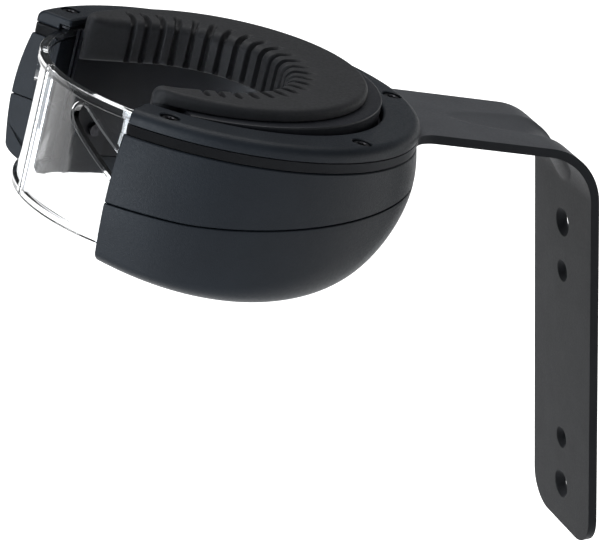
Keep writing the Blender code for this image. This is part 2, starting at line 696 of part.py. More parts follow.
def tube(bm, base, axis, d0, d1, r_in, r_out, seg):
    bx, by, bz = base
    ax, ay, az = axis
    u, v = ((-ay, ax, 0.0), (0.0, 0.0, 1.0)) if abs(az) < 0.9 else ((1.0, 0.0, 0.0), (0.0, 1.0, 0.0))
    loops = []
    for d, r in ((d0, r_in), (d1, r_in), (d1, r_out), (d0, r_out)):
        loops.append([bm.verts.new([(b + a * d + p * r * cos(t) + q * r * sin(t)) * MM
                                    for b, a, p, q in zip((bx, by, bz), (ax, ay, az), u, v)])
                      for t in [2.0 * pi * k / seg for k in range(seg)]])
    for a, b in zip(loops, loops[1:] + loops[:1]):
        for i in range(seg):
            j = (i + 1) % seg
            bm.faces.new((a[i], a[j], b[j], b[i]))


# ---- return springs and stops ---------------------------------------------------------------
def build_springs(finish, parent):
    for tag, side in SIDES:
        x, y = round_plan(SPRING_R, side * SPRING_PHI)
        low = floor_z(SPRING_PHI + 9.0) + SPRING_WIRE / 2.0 + GAP
        high = cradle_top(y) - 2.2 - 0.9
        per = 8
        total = int(SPRING_TURNS * per)
        bm = bmesh.new()
        rings = []
        for k in range(total + 1):
            a = 2.0 * pi * k / per
            z = low + (high - low) * k / total
            ring = []
            for m in range(4):
                t = 2.0 * pi * m / 4.0
                r = SPRING_D / 2.0 + SPRING_WIRE / 2.0 * cos(t)
                ring.append(((x + r * cos(a)) * MM, (y + r * sin(a)) * MM,
                             (z + SPRING_WIRE / 2.0 * sin(t)) * MM))
            rings.append(ring)
        skin(bm, rings)
        put("return_spring_" + tag, bm, finish, parent)


def build_stops(finish, parent):
    for tag, side in SIDES:
        bm = bmesh.new()
        box_at(bm, 180.0 - side * 12.0, CRADLE_OUT - 3.6, CRADLE_OUT - 0.2, 4.0,
               along(FLOOR_Z, 168.0) + WALL + 0.9, SKIRT_BOTTOM - GAP)
        put("down_stop_" + tag, bm, finish, parent)


# ---- assembly -------------------------------------------------------------------------------
def main():
    for obj in list(bpy.data.objects):
        bpy.data.objects.remove(obj)

    ring = frame("head_frame", None, (0.0, -RING_TO_WALL * MM, RING_ABOVE_HOLES * MM),
                 (-radians(TILT), 0.0, 0.0))
    build_bracket(POWDER_COAT, ring)
    build_cover(BLACK_PLASTIC, ring)
    build_upper(BLACK_PLASTIC, ring)
    build_bottom(BLACK_PLASTIC, ring)
    build_sleeve(INNER_PLASTIC, ring)
    build_glides(INNER_PLASTIC, ring)
    build_screws(BLACK_SCREW, ring)

    for tag, side in SIDES:
        build_gate("gate_" + tag, side, CLEAR_PLASTIC, frame("gate_%s_axis" % tag, ring))

    lift = frame("cradle_axis", ring)
    build_cradle(INNER_PLASTIC, lift)
    build_pad(BLACK_RUBBER, lift)
    build_drive(BRIGHT_STEEL, INNER_PLASTIC, lift)
    build_springs(BRIGHT_STEEL, ring)
    build_stops(BLACK_RUBBER, ring)


main()
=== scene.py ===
"""Looks of the instrument wall hanger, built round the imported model.

Lengths are millimetres in the head frame: origin on the ring axis at the top face of the steel plate,
Z along the ring axis, -Y toward the open front.  Angles round the ring (phi) start at the open front
and are positive toward +X.  HEAD turns such a point into the frame's metres.
"""
import json
import bpy
import bmesh
from math import atan2, cos, degrees, hypot, pi, radians, sin, sqrt, tan
from mathutils import Matrix, Vector


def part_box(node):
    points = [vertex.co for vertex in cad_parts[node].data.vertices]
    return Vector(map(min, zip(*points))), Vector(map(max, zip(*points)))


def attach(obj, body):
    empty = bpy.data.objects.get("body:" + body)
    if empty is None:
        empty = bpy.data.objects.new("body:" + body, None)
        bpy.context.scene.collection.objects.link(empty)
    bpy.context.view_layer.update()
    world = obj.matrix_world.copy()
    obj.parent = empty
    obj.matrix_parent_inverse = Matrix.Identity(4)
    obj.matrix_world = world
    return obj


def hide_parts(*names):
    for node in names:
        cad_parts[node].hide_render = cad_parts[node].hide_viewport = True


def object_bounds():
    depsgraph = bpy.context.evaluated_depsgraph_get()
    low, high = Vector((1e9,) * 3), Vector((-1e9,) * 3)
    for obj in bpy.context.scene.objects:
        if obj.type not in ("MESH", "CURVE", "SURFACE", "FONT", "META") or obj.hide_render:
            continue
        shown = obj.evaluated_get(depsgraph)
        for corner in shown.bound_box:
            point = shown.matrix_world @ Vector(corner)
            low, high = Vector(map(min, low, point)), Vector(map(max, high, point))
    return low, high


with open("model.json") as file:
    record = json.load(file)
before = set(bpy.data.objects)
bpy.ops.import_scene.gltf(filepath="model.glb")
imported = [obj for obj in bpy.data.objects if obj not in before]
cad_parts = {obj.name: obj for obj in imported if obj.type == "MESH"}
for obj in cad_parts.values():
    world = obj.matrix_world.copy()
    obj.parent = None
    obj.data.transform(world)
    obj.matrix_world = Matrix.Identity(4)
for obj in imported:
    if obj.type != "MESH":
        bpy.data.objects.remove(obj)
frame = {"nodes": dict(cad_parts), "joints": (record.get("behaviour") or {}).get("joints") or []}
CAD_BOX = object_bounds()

SIDES = (("right", 1.0), ("left", -1.0))
JOINTS = {j["name"]: j for j in frame["joints"]}
RING = Vector(JOINTS["right_gate_swing"]["pos_m"])
AXIS = Vector(JOINTS["cradle_lift"]["axis"])
TILT = atan2(AXIS.y, AXIS.z)
HEAD = Matrix.Translation(RING) @ Matrix.Rotation(-TILT, 4, "X") @ Matrix.Scale(0.001, 4)
LIFT = JOINTS["cradle_lift"]["range_m"][1] * 1000.0

# ---- driving dimensions ---------------------------------------------------------------------
STEEL = 3.2
GRID_HALF_W, GRID_ACROSS, GRID_ALONG, GRID_PAST = 12.0, 0.8, 1.1, 6.0    # fine grid under the bead
STRAP_W = 48.26
BEND_R = 24.0
PLATE_CORNER = 12.0
HOLES = ((51.8, 10.6, 5.6), (33.0, 8.2, 4.6))   # distance from the middle, diameters of sink and hole
BEAD_HALF_W, BEAD_DEPTH, BEAD_START, BEAD_TAIL = 10.4, 2.2, 87.0, -1.0
HORSESHOE_IN, HORSESHOE_OUT = 60.4, 70.0
ROOT_FILLET = 12.0
END_PHI = 45.8
GAP = 0.3
COVER_IN, COVER_TOP, COVER_EDGE = 56.7, 5.0, 3.1
HOUSING_EDGE = 0.7
ARM_START = 84.0         # along the strip, just outside the horseshoe
TRACK_IN = 60.4
FLOOR_IN, SHELF_IN, SHELF_PHI = 55.9, 37.0, 49.0
FLOOR_WALL, TRACK_DROP = 2.5, 1.4
EASE, LAND = 0.45, 1.6     # eased edge of a housing half, and the flat land inside it
SEAM_Z, SEAM_RISE = -26.3, 18.5
# barrel shape of the head, given at the open ends, at the sides and at the rear
FLOOR_Z = (-49.7, -52.0, -37.3)
CORNER_H = (5.9, 8.9, 32.0)
CORNER_W = (15.4, 10.0, 10.0)
BULGE = (3.0, 0.2, 3.0)
SCREW_R, SCREW_STEP = 64.3, 61.95
RECESS_D, HEAD_D, SHANK_D = 6.8, 5.8, 3.0
HEAD_SEAT, HEAD_TOP, SCREW_TIP = 3.4, 4.5, -32.6
CRADLE_OUT, CRADLE_FRONT_Y = 55.3, -34.0
CRADLE_Z, CRADLE_SLOPE = 6.2, 0.058
CRADLE_WALL, FLANGE = 2.1, 2.2
RIB_WALL_IN, RIB_WALL_OUT, RIB_WALL_LOW = 4.3, 6.0, -9.8     # wall behind the pad's ribs
FLANGE_SETBACK, FLANGE_DROP = 7.0, 2.6
SKIRT_BOTTOM, LEG_BOTTOM, LEG_PHI = -31.0, -50.5, (56.5, 75.0)
SLEEVE_IN, SLEEVE_OUT, SLEEVE_PHI = 55.7, 56.7, 51.7
PAD_OUT, PAD_CENTRE_Y, PAD_FRONT_Y = 51.0, -1.3, -36.0
PAD_TOP, PAD_FALL, PAD_BOTTOM = 5.2, 0.0226, -10.5
PAD_LIP, PAD_SHOULDER, PAD_FULL_W, PAD_WALL = 3.4, 2.2, 9.5, 3.9
MOUTH_R, MOUTH_Y = 33.5, -12.0
RIB_START_Y, RIB_COUNT, RIB_DEPTH, RIB_REACH = -19.7, 23, 2.5, 9.0
GROOVE_HALF, GROOVE_FADE = 1.05, 2.4
NOSE_R, NOSE_SLIM = 3.2, 0.4
PIN_D = 3.0
GATE_IN, GATE_OUT, GATE_RIM = 57.0, 58.5, 59.9
GATE_TOP, GATE_BOTTOM, GATE_MEET, GATE_TAIL = 1.0, -45.1, 0.25, 75.5
GATE_STEP, GATE_RISE = 6.2, 1.6     # length and height of the step under the tail
LEAD_RIB, LEAD_EASE = 2.2, 0.5     # degrees round the ring
RIM_LOW, RIM_HIGH, RIM_SLOPE = 2.6, 3.0, 0.4
SLOT_W = 7.3
LIP_W, LIP_ROOT, LIP_OUT = 1.2, 0.4, 0.9
SLOT_HIGH, SLOT_LOW = (24.3, -7.6), (68.3, -35.3)


# ---- materials ------------------------------------------------------------------------------
class Nodes:
    """Small helper to build a node tree."""

    def __init__(self, name):
        self.mat = bpy.data.materials.new(name)
        self.mat.use_nodes = True
        self.tree = self.mat.node_tree
        self.shader = self.tree.nodes["Principled BSDF"]
        self.place = self.add("ShaderNodeTexCoord").outputs["Object"]

    def add(self, kind, **values):
        node = self.tree.nodes.new(kind)
        for key, value in values.items():
            node.inputs[key].default_value = value
        return node

    def link(self, a, b):
        self.tree.links.new(a, b)

    def noise(self, scale, detail=2.0, rough=0.5):
        node = self.add("ShaderNodeTexNoise", Scale=scale, Detail=detail, Roughness=rough)
        self.link(self.place, node.inputs["Vector"])
        return node.outputs["Fac"]

    def ramp(self, source, low, high):
        """Maps a value to a range between two numbers or colours."""
        node = self.add("ShaderNodeValToRGB")
        self.link(source, node.inputs["Fac"])
        for stop, value, spot in zip(node.color_ramp.elements, (low, high), (0.3, 0.7)):
            colour = value if isinstance(value, tuple) else (value, value, value)
            stop.color = (*colour, 1.0)
            stop.position = spot
        return node.outputs["Color"]

    def bump(self, height, distance, strength=1.0, under=None):
        node = self.add("ShaderNodeBump", Distance=distance, Strength=strength)
        self.link(height, node.inputs["Height"])
        if under:
            self.link(under, node.inputs["Normal"])
        return node.outputs["Normal"]

    def set(self, **values):
        for key, value in values.items():
            self.shader.inputs[key.replace("_", " ")].default_value = value


def moulded(name, dark, light, rough, grain, depth):
    """Moulded plastic with a spark-eroded grain and slow changes of tone."""
    n = Nodes(name)
    n.link(n.ramp(n.noise(45.0, 3.0), dark, light), n.shader.inputs["Base Color"])
    n.link(n.ramp(n.noise(grain * 0.5, 2.0), rough - 0.05, rough + 0.07), n.shader.inputs["Roughness"])
    coarse = n.bump(n.noise(grain * 0.35, 2.0), depth, 0.5)
    n.link(n.bump(n.noise(grain, 3.0, 0.6), depth, 0.8, coarse), n.shader.inputs["Normal"])
    n.set(Specular_IOR_Level=0.17)
    return n.mat


def powder_coat(name):
    """Powder coat: fine orange peel over a soft satin tone."""
    n = Nodes(name)
    n.link(n.ramp(n.noise(60.0, 3.0), (0.060, 0.062, 0.068), (0.072, 0.075, 0.081)),
           n.shader.inputs["Base Color"])
    n.link(n.ramp(n.noise(1500.0), 0.44, 0.56), n.shader.inputs["Roughness"])
    peel = n.bump(n.noise(700.0, 2.0), 0.00012, 0.35)
    n.link(n.bump(n.noise(2600.0, 2.0, 0.6), 0.00008, 0.5, peel), n.shader.inputs["Normal"])
    n.set(Specular_IOR_Level=0.06)
    return n.mat


def rubber(name):
    """Matt rubber with a dusty bloom and a velvety micro grain."""
    n = Nodes(name)
    n.link(n.ramp(n.noise(120.0, 4.0, 0.6), (0.0065, 0.007, 0.0085), (0.010, 0.0105, 0.0125)),
           n.shader.inputs["Base Color"])
    n.link(n.ramp(n.noise(900.0), 0.60, 0.72), n.shader.inputs["Roughness"])
    n.link(n.bump(n.noise(3200.0, 2.0, 0.6), 0.00008, 0.5), n.shader.inputs["Normal"])
    n.set(Sheen_Weight=0.03, Sheen_Roughness=0.5, Specular_IOR_Level=0.3)
    return n.mat


def clear_plastic(name):
    """Clear polycarbonate with faint flow waves and slight changes of gloss."""
    n = Nodes(name)
    n.link(n.ramp(n.noise(80.0), (0.955, 0.965, 0.975), (0.975, 0.985, 0.995)), n.shader.inputs["Base Color"])
    n.link(n.ramp(n.noise(600.0), 0.015, 0.04), n.shader.inputs["Roughness"])
    n.link(n.bump(n.noise(55.0, 1.0), 0.0003, 0.1), n.shader.inputs["Normal"])
    n.set(Transmission_Weight=1.0, IOR=1.58)
    return n.mat


def metal(name, dark, light, rough):
    """Bare or blackened steel with a fine grain in its tone and gloss."""
    n = Nodes(name)
    n.link(n.ramp(n.noise(900.0, 3.0), dark, light), n.shader.inputs["Base Color"])
    n.link(n.ramp(n.noise(2200.0), rough - 0.06, rough + 0.06), n.shader.inputs["Roughness"])
    n.link(n.bump(n.noise(2600.0), 0.00003, 0.4), n.shader.inputs["Normal"])
    n.set(Metallic=1.0)
    return n.mat


LOOK = {
    "powder_coated_steel": powder_coat("powder_coated_steel"),
    "black_plastic": moulded("black_plastic", (0.010, 0.0125, 0.0165), (0.014, 0.0175, 0.0225),
                             0.46, 3000.0, 0.00010),
    "inner_plastic": moulded("inner_plastic", (0.012, 0.013, 0.016), (0.016, 0.017, 0.021),
                             0.38, 2200.0, 0.00005),
    "black_rubber": rubber("black_rubber"),
    "clear_plastic": clear_plastic("clear_plastic"),
    "black_screws": metal("black_screws", (0.02, 0.02, 0.022), (0.045, 0.045, 0.05), 0.34),
    "bright_steel": metal("bright_steel", (0.5, 0.5, 0.52), (0.66, 0.66, 0.68), 0.26),
}


# ---- mesh helpers ---------------------------------------------------------------------------
def polar(r, phi, z):
    a = radians(phi - 90.0)
    return Vector((r * cos(a), r * sin(a), z))


def plan(r, phi):
    return r * sin(radians(phi)), -r * cos(radians(phi))


def steps(a, b, size):
    n = max(1, round(abs(b - a) / size))
    return [a + (b - a) * i / n for i in range(n + 1)]


def skin(bm, sections):
    """Join closed sections of equal length into one capped tube."""
    rings = [[bm.verts.new(p) for p in s] for s in sections]
    n = len(rings[0])
    for a, b in zip(rings, rings[1:]):
        for i in range(n):
            j = (i + 1) % n
            bm.faces.new((a[i], a[j], b[j], b[i]))
    bm.faces.new(rings[0])
    bm.faces.new(list(reversed(rings[-1])))


def turned(bm, base, axis, profile, seg=32):
    """Turned piece: profile holds (distance along axis, radius) from one end to the other."""
    axis = Vector(axis).normalized()
    u = axis.orthogonal().normalized()
    v = axis.cross(u)
    skin(bm, [[Vector(base) + axis * d + (u * cos(t) + v * sin(t)) * r
               for t in [2.0 * pi * i / seg for i in range(seg)]] for d, r in profile])


def rounded(corners, seg=5):
    """Polygon of (x, y, radius) corners with an arc at each, and as many points when a corner is straight."""
    out = []
    n = len(corners)
    for i, (x, y, r) in enumerate(corners):
        p = Vector((x, y))
        if r <= 0.0:
            out.append((x, y))
            continue
        a = Vector(corners[i - 1][:2]) - p
        b = Vector(corners[(i + 1) % n][:2]) - p
        half = a.angle(b) / 2.0
        a.normalize()
        b.normalize()
        if half > radians(89.0):
            out += [tuple(p + b * r * (k / seg - 0.5)) for k in range(seg + 1)]
            continue
        centre = p + (a + b).normalized() * (r / sin(half))
        start = (p + a * (r / tan(half))) - centre
        end = (p + b * (r / tan(half))) - centre
        for k in range(seg + 1):
            out.append(tuple(centre + start.slerp(end, k / seg).normalized() * r))
    return out


def shrink(points, amount):
    """The polygon scaled about the middle of its box, each side of the box coming in by amount."""
    if amount <= 0.0:
        return list(points)
    low = [min(p[i] for p in points) for i in (0, 1)]
    high = [max(p[i] for p in points) for i in (0, 1)]
    mid = [(a + b) / 2.0 for a, b in zip(low, high)]
    size = [1.0 - 2.0 * amount / (b - a) for a, b in zip(low, high)]
    return [tuple(m + (v - m) * k for v, m, k in zip(p, mid, size)) for p in points]


def sweep_rings(section, phi0, phi1, step, end=0.0, side=1.0, radius=65.0):
    """Sections round the ring, with edges of radius end where the sweep starts and stops."""
    rings = []
    n = 5
    soft = [(end * (1.0 - cos(k * pi / 2 / n)), end * (1.0 - sin(k * pi / 2 / n))) for k in range(n)]
    soft = soft if end > 0.0 else []
    places = [(phi0 + degrees(t / radius), d) for t, d in soft]
    start = phi0 + degrees(end / radius)
    stop = phi1 - degrees(end / radius)
    places += [(phi, 0.0) for phi in steps(start, stop, step)]
    places += [(phi1 - degrees(t / radius), d) for t, d in reversed(soft)]
    for phi, d in places:
        rings.append([polar(r, side * phi, z) for r, z in shrink(section(phi), d)])
    return rings


def outward(bm):
    bmesh.ops.recalc_face_normals(bm, faces=bm.faces)
    if bm.calc_volume(signed=True) < 0.0:
        bmesh.ops.reverse_faces(bm, faces=bm.faces)


def solid(name, bm, look=None, smooth=40.0):
    """Object from a bmesh in the head frame."""
    outward(bm)
    mesh = bpy.data.meshes.new(name)
    bm.to_mesh(mesh)
    bm.free()
    mesh.transform(HEAD)
    if look:
        mesh.materials.append(LOOK[look])
    mesh.shade_smooth()
    mesh.set_sharp_from_angle(angle=radians(smooth))
    obj = bpy.data.objects.new(name, mesh)
    bpy.context.scene.collection.objects.link(obj)
    return obj


def merge(obj, other, how):
    """Join or cut with another object and keep the result as a plain mesh."""
    mod = obj.modifiers.new(how, "BOOLEAN")
    mod.operation = how
    mod.solver = "EXACT"
    mod.object = other
    bpy.context.view_layer.update()
    mesh = bpy.data.meshes.new_from_object(obj.evaluated_get(bpy.context.evaluated_depsgraph_get()))
    obj.modifiers.clear()
    obj.data = mesh
    bpy.data.objects.remove(other)
    mesh.shade_smooth()
    mesh.set_sharp_from_angle(angle=radians(40.0))


def finish_piece(obj, body, nodes, edge=0.0):
    """Soften the edges, take the place of CAD nodes and ride on a body."""
    if edge > 0.0:
        mod = obj.modifiers.new("soft_edges", "BEVEL")
        mod.width = edge * 0.001
        mod.segments = 3
        mod.limit_method = "ANGLE"
        mod.angle_limit = radians(40.0)
        mod.harden_normals = True
    mod = obj.modifiers.new("even_normals", "WEIGHTED_NORMAL")
    mod.keep_sharp = True
    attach(obj, body)
    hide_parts(*nodes)
    return obj


# ---- shape of the head ----------------------------------------------------------------------
def along(triple, phi):
    """Value at phi of a quantity given at the open ends, the sides and the rear."""
    u = (1.0 - cos(radians(phi))) / 2.0
    a, b, c = triple
    ka = (u - 0.5) * (u - 1.0) / ((0.15 - 0.5) * (0.15 - 1.0))
    kb = (u - 0.15) * (u - 1.0) / ((0.5 - 0.15) * (0.5 - 1.0))
    kc = (u - 0.15) * (u - 0.5) / ((1.0 - 0.15) * (1.0 - 0.5))
    return a * ka + b * kb + c * kc


def seam_z(phi):
    u = (1.0 - cos(radians(phi))) / 2.0
    return SEAM_Z + SEAM_RISE * max(0.0, u - 0.3) ** 1.25


def hull(phi, z):
    """Outer radius of the head at a height."""
    low, tall = along(FLOOR_Z, phi), along(CORNER_H, phi)
    wide, bulge = along(CORNER_W, phi), max(0.0, along(BULGE, phi))
    s = min(1.0, max(0.0, (-STEEL - z) / (-STEEL - low)))
    r = HORSESHOE_OUT + bulge * sin(pi * s ** 0.9)
    t = min(1.0, max(0.0, (low + tall - z) / tall))
    return r - wide * (1.0 - sqrt(1.0 - t * t))


def screw_phis():
    return [180.0 + SCREW_STEP * k for k in (-2, -1, 0, 1, 2)]


def eased(r, z, way):
    """Land and eased edge at outer radius r; way is -1 under a top edge and 1 above a bottom one."""
    return [(r - LAND, z), (r - EASE, z), (r - EASE * 0.3, z + way * EASE * 0.3)]


def track_floor(phi):
    """Height of the floor of the track that the gates run in."""
    return max(GATE_BOTTOM - TRACK_DROP, along(FLOOR_Z, phi) + FLOOR_WALL)


def upper_section(phi):
    """Upper housing from under the steel plate to the parting line."""
    low, top = seam_z(phi), -STEEL - GAP
    start, stop, n = top - EASE, low + EASE, 16
    heights = [start + (stop - start) * k / n for k in range(n + 1)]
    outer = [(hull(phi, z), z) for z in heights]
    lead, tail = eased(outer[0][0], top, -1.0), eased(outer[-1][0], low, 1.0)
    return lead + outer + tail[::-1] + [(TRACK_IN, low), (TRACK_IN, top)]


def lower_section(phi):
    """Bottom shell: barrel side, rounded corner, floor, and at the rear a floor reaching inward."""
    low, top = along(FLOOR_Z, phi), seam_z(phi) - GAP
    start, n = top - EASE, 30
    outer = []
    for k in range(n + 1):
        z = start + (low - start) * (1.0 - (1.0 - k / n) ** 2.0)
        outer.append((hull(phi, z), z))
    reach = FLOOR_IN if abs(phi - 180.0) > SHELF_PHI else SHELF_IN
    foot = [(reach + 1.2, low - 0.6), (reach + 0.35, low - 0.25), (reach, low + 0.6)]
    track = [(reach, track_floor(phi)), (TRACK_IN, track_floor(phi)), (TRACK_IN, top)]
    return eased(outer[0][0], top, -1.0) + outer + foot + track


def cover_section(phi):
    """Cover over the steel, with its inner lip over the gates; the same all round."""
    r = HORSESHOE_OUT
    under = GATE_TOP + 2.0 * GAP + 0.8
    outer = [(r, GAP, 0.25), (r, COVER_TOP, COVER_EDGE)]
    inner = [(COVER_IN, COVER_TOP, 0.9), (COVER_IN, under, 0.2)]
    return rounded(outer + inner + [(TRACK_IN + 0.4, under, 0.0), (TRACK_IN + 0.4, GAP, 0.0)], 6)


def build_head():
    bm = bmesh.new()
    skin(bm, sweep_rings(cover_section, END_PHI + 0.4, 360.0 - END_PHI - 0.4, 2.0, 1.0))
    cover = solid("cover_ring", bm, "black_plastic")
    bm = bmesh.new()
    for phi in screw_phis():
        x, y = plan(SCREW_R, phi)
        rim = RECESS_D / 2.0
        profile = ((HEAD_SEAT, rim), (COVER_TOP - 0.3, rim), (COVER_TOP + 0.3, rim + 0.6))
        turned(bm, (x, y, 0.0), (0, 0, 1), profile)
    merge(cover, solid("recesses", bm), "DIFFERENCE")
    finish_piece(cover, "head", ["top_cover"])

    for name, section, node in (("housing_upper", upper_section, "upper_housing"),
                                ("housing_lower", lower_section, "bottom_shell")):
        bm = bmesh.new()
        skin(bm, sweep_rings(section, END_PHI, 360.0 - END_PHI, 2.0))
        finish_piece(solid(name, bm, "black_plastic"), "head", [node], HOUSING_EDGE)


# ---- steel bracket --------------------------------------------------------------------------
TURN = pi / 2.0 - TILT
WALL_Y = -RING.y * 1000.0
BEND_S = WALL_Y / cos(TILT) - BEND_R * tan(TURN / 2.0)
BEND_LEN = BEND_R * TURN
BEND_END_Z = -WALL_Y * tan(TILT) - BEND_R * tan(TURN / 2.0)


def strip(x, s, depth):
    """Point at length s along the strip, at a depth below its outer face."""
    r = BEND_R - depth
    if s <= BEND_S:
        return Vector((x, s, -depth))
    a = min(TURN, (s - BEND_S) / BEND_R)
    d = max(0.0, s - BEND_S - BEND_LEN)
    return Vector((x, BEND_S + r * sin(a) + d * cos(TURN), -BEND_R + r * cos(a) - d * sin(TURN)))


def bead(x, s):
    """Depth of the pressed stiffening bead."""
    mid = BEND_S + BEND_LEN / 2.0
    span = mid - BEAD_START if s < mid else BEND_LEN / 2.0 + BEAD_TAIL
    q = ((s - mid) / span) ** 2 + (x / BEAD_HALF_W) ** 2
    return BEAD_DEPTH * max(0.0, 1.0 - q) ** 0.75


def horseshoe_outline():
    """Plan of the horseshoe plate from one root of the arm round to the other."""
    half = STRAP_W / 2.0
    cx = half + ROOT_FILLET
    cy = sqrt((HORSESHOE_OUT + ROOT_FILLET) ** 2 - cx ** 2)
    turn = pi + atan2(-cy, -cx)
    root = [(cx + ROOT_FILLET * cos(pi + turn * k / 9.0), cy + ROOT_FILLET * sin(pi + turn * k / 9.0))
            for k in range(10)]
    meet = degrees(atan2(root[-1][1], root[-1][0])) + 90.0
    corner = 2.0
    tip = degrees(corner / HORSESHOE_OUT)
    right = root + [plan(HORSESHOE_OUT, f) for f in steps(meet, END_PHI + tip, 2.0)[1:]]
    for k in range(1, 5):
        a = k * pi / 8.0
        right.append(plan(HORSESHOE_OUT - corner * (1.0 - cos(a)), END_PHI + tip * (1.0 - sin(a))))
    inner = [plan(HORSESHOE_IN, f) for f in steps(END_PHI, 360.0 - END_PHI, 2.0)]
    return right + inner + [(-x, y) for x, y in reversed(right)]


def build_bracket():
    """One sheet: horseshoe plate, arm, bend with a pressed bead, and wall plate."""
    half = STRAP_W / 2.0
    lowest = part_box("wall_bracket")[0].z
    plate_z = (RING.z - lowest) * 1000.0
    strip_end = BEND_S + BEND_LEN + BEND_END_Z + plate_z
    xs = [-half] + steps(-GRID_HALF_W, GRID_HALF_W, GRID_ACROSS) + [half]
    ss = [ARM_START] + steps(ARM_START + 2.0, BEND_S + BEND_LEN + GRID_PAST, GRID_ALONG)
    quarter = [pi / 2.0 * k / 10.0 for k in range(11)]
    inner = half - PLATE_CORNER
    low = [(inner + PLATE_CORNER * cos(a), strip_end - PLATE_CORNER * (1.0 - sin(a))) for a in quarter]
    low += [(-x, s) for x, s in reversed(low)]
    shoe = horseshoe_outline()
    bm = bmesh.new()
    sheets = []
    loops = []
    for depth in (0.0, STEEL):
        grid = [[bm.verts.new(strip(x, s, depth + bead(x, s))) for x in xs] for s in ss]
        for a, b in zip(grid, grid[1:]):
            for i in range(len(xs) - 1):
                bm.faces.new((a[i], a[i + 1], b[i + 1], b[i]))
        tip = [bm.verts.new(strip(x, s, depth)) for x, s in low]
        bm.faces.new(grid[-1] + tip)
        horse = [bm.verts.new((x, y, -depth)) for x, y in shoe]
        bm.faces.new(grid[0] + horse)
        right = [row[-1] for row in grid]
        left = [row[0] for row in grid]
        sheets.append(grid)
        loops.append(right + tip + left[::-1] + horse[::-1])
    upper, under = loops
    for i in range(len(upper)):
        bm.faces.new((upper[i - 1], upper[i], under[i], under[i - 1]))
    bracket = solid("steel_bracket", bm, "powder_coated_steel")

    bm = bmesh.new()
    mid_s = strip_end - (plate_z - RING.z * 1000.0)
    for off, big, small in HOLES:
        sink = STEEL - (big - small) / 2.0
        for s in (mid_s - off, mid_s + off):
            rings = []
            for t, r in ((-1.0, small / 2), (sink, small / 2), (STEEL - 0.25, big / 2 - 0.25),
                         (STEEL + 0.15, big / 2 + 0.35), (STEEL + 1.0, big / 2 + 0.35)):
                rings.append([strip(r * cos(a), s + r * sin(a), t)
                              for a in [2.0 * pi * k / 40 for k in range(40)]])
            skin(bm, rings)
    merge(bracket, solid("hole_tools", bm), "DIFFERENCE")
    return finish_piece(bracket, "head", ["wall_bracket"], 0.5)


# ---- screws ---------------------------------------------------------------------------------
def socket_head(bm, x, y):
    """Screw at (x, y): shank, button head and hexagon socket."""
    r, slim, top = HEAD_D / 2.0, SHANK_D / 2.0, HEAD_TOP
    seg = 36

    def ring(z, radius, hexagon=False):
        points = []
        for i in range(seg):
            t = 2.0 * pi * i / seg
            k = radius / cos((t + pi / 6.0) % (pi / 3.0) - pi / 6.0) if hexagon else radius
            points.append(Vector((x + k * cos(t), y + k * sin(t), z)))
        return points

    shank = [ring(SCREW_TIP, slim - 0.5), ring(SCREW_TIP + 0.8, slim), ring(top - 1.01, slim)]
    head = [ring(top - 1.0, r), ring(top - 0.5, r), ring(top - 0.15, r - 0.25), ring(top, r - 0.8)]
    mouth_edge = [ring(top, 1.75), ring(top - 0.12, 1.62)]
    socket = [ring(top - 0.3, 1.35, True), ring(top - 1.3, 1.3, True)]
    skin(bm, shank + head + mouth_edge + socket)


def build_screws():
    for k, phi in enumerate(screw_phis()):
        x, y = plan(SCREW_R, phi)
        bm = bmesh.new()
        socket_head(bm, x, y)
        screw = solid("head_screw_%d" % (k + 1), bm, "black_screws")
        finish_piece(screw, "head", ["cover_screw_%d" % (k + 1)])


# ---- gates ----------------------------------------------------------------------------------
def gate_section(phi):
    """Curved panel with a rim along the top and the bottom, and a rib up its leading edge."""
    rib = max(0.0, 1.0 - max(0.0, phi - LEAD_RIB) / LEAD_EASE)
    panel = GATE_OUT + (GATE_RIM - GATE_OUT) * rib
    # the tail is cut short below, to clear the floor that rises toward the rear
    tail = min(1.0, max(0.0, (phi - GATE_TAIL + GATE_STEP) / 0.4))
    low = GATE_BOTTOM + GATE_RISE * tail
    under, over = low + RIM_LOW, GATE_TOP - RIM_HIGH
    rim_low = [(GATE_IN, low, 0.35), (GATE_RIM, low, 0.45), (GATE_RIM, under, 0.3)]
    face = [(panel, under + RIM_SLOPE, 0.0), (panel, over - RIM_SLOPE, 0.0)]
    rim_high = [(GATE_RIM, over, 0.3), (GATE_RIM, GATE_TOP, 0.45), (GATE_IN, GATE_TOP, 0.35)]
    return rounded(rim_low + face + rim_high, 3)


def slot_rings(side, half, r0, r1):
    """Stadium along the slanted slot, as sections that step along it."""
    per_deg = radians(1.0) * (GATE_IN + GATE_OUT) / 2.0
    (p0, z0), (p1, z1) = SLOT_HIGH, SLOT_LOW
    run, rise = (p1 - p0) * per_deg, z1 - z0
    length = hypot(run, rise)
    ux, uz = run / length, rise / length
    ends = [-half * cos(pi / 2.0 * k / 12.0) for k in range(13)]
    stops = ends + steps(0.0, length, 1.5)[1:-1] + [length - t for t in reversed(ends)]
    rings = []
    for t in stops:
        past = max(0.0, -t, t - length)
        w = max(0.12, sqrt(max(0.0, half * half - past * past)))
        pts = []
        for r, v in ((r0, -w), (r0, w), (r1, w), (r1, -w)):
            pts.append(polar(r, side * (p0 + (t * ux - v * uz) / per_deg), z0 + t * uz + v * ux))
        rings.append(pts)
    return rings


